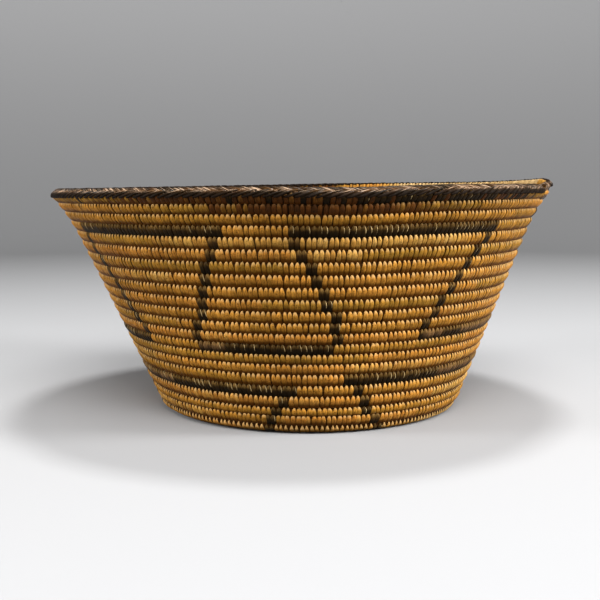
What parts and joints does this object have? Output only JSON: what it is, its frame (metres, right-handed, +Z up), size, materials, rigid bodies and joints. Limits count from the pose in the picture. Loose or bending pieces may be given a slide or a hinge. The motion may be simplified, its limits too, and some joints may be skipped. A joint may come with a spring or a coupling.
{
  "type": "coiled basketry bowl",
  "caption": "Round coiled basketry bowl: flat spiral base, sloping coiled wall with a flared lip, dark bars of splint on light coils, and a dark false-braid rim.",
  "frame": {"origin": "middle of the start knot's flat underside, on the surface that the bowl stands on", "axes": "+Z up along the bowl's axis; -Y is the side that the picture shows; +X is to the right in the picture, where the coil's tip lies"},
  "size_m": [0.281, 0.2794, 0.1301],
  "materials": {
    "light_splint": "satin golden-tan plant splint, varying from stitch to stitch",
    "dark_splint": "satin near-black brown plant splint, browner in places",
    "braid_splint": "polished dark brown splint with pale highlights along the top"
  },
  "bodies": {
    "root": {"start_knot": "light_splint", "base_coil": "light_splint", "wall_coil": "light_splint", "rim_braid": "braid_splint", "upper_top_bar_1": "dark_splint", "upper_top_bar_2": "dark_splint", "upper_top_bar_3": "dark_splint", "upper_top_bar_4": "dark_splint", "upper_top_bar_5": "dark_splint", "upper_bottom_bar_1": "dark_splint", "upper_bottom_bar_2": "dark_splint", "upper_bottom_bar_3": "dark_splint", "upper_bottom_bar_4": "dark_splint", "upper_bottom_bar_5": "dark_splint", "lower_top_bar_1": "dark_splint", "lower_top_bar_2": "dark_splint", "lower_top_bar_3": "dark_splint", "lower_top_bar_4": "dark_splint", "lower_top_bar_5": "dark_splint"}
  },
  "joints": []
}
